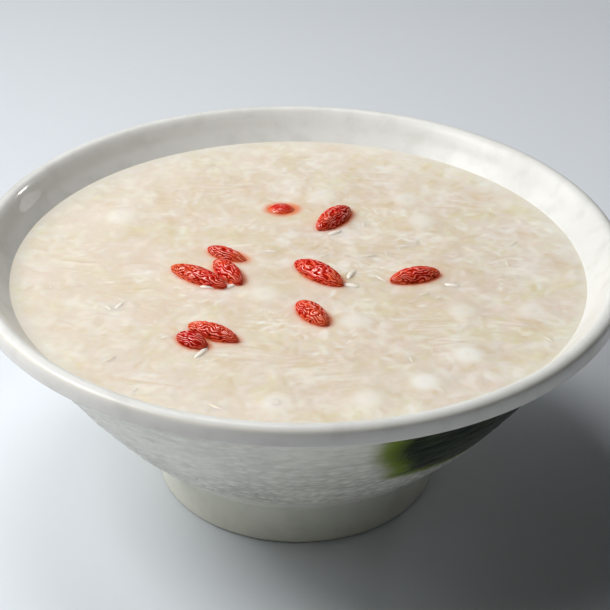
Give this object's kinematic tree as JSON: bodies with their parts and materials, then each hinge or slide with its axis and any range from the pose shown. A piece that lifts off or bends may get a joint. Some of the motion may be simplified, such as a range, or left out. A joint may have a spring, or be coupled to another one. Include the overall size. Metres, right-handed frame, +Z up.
{
  "type": "sweet fermented rice ball soup",
  "caption": "Wide footed bowl of creamy sweet fermented rice soup with floating rice grains, small rice balls and red goji berries.",
  "frame": {"origin": "on the table, under the middle of the bowl's foot ring", "axes": "+Z up along the bowl's turning axis; -Y faces the viewer, +X is to the viewer's right"},
  "size_m": [0.1876, 0.1876, 0.0764],
  "materials": {
    "white_glaze": "gloss",
    "rice_soup": "satin",
    "rice_ball_white": "satin",
    "berry_red": "gloss"
  },
  "bodies": {
    "root": {"bowl": "white_glaze", "soup": "rice_soup", "rice_ball_01": "rice_ball_white", "rice_ball_02": "rice_ball_white", "rice_ball_03": "rice_ball_white", "rice_ball_04": "rice_ball_white", "rice_ball_05": "rice_ball_white", "rice_ball_06": "rice_ball_white", "rice_ball_07": "rice_ball_white", "rice_ball_08": "rice_ball_white", "rice_ball_09": "rice_ball_white", "rice_ball_10": "rice_ball_white", "rice_ball_11": "rice_ball_white", "rice_ball_12": "rice_ball_white", "berry_back_left": "berry_red", "berry_back_right": "berry_red", "berry_far_left": "berry_red", "berry_cluster_back": "berry_red", "berry_cluster_front": "berry_red", "berry_middle": "berry_red", "berry_right": "berry_red", "berry_front": "berry_red", "berry_front_left": "berry_red", "berry_tucked": "berry_red"}
  },
  "joints": []
}
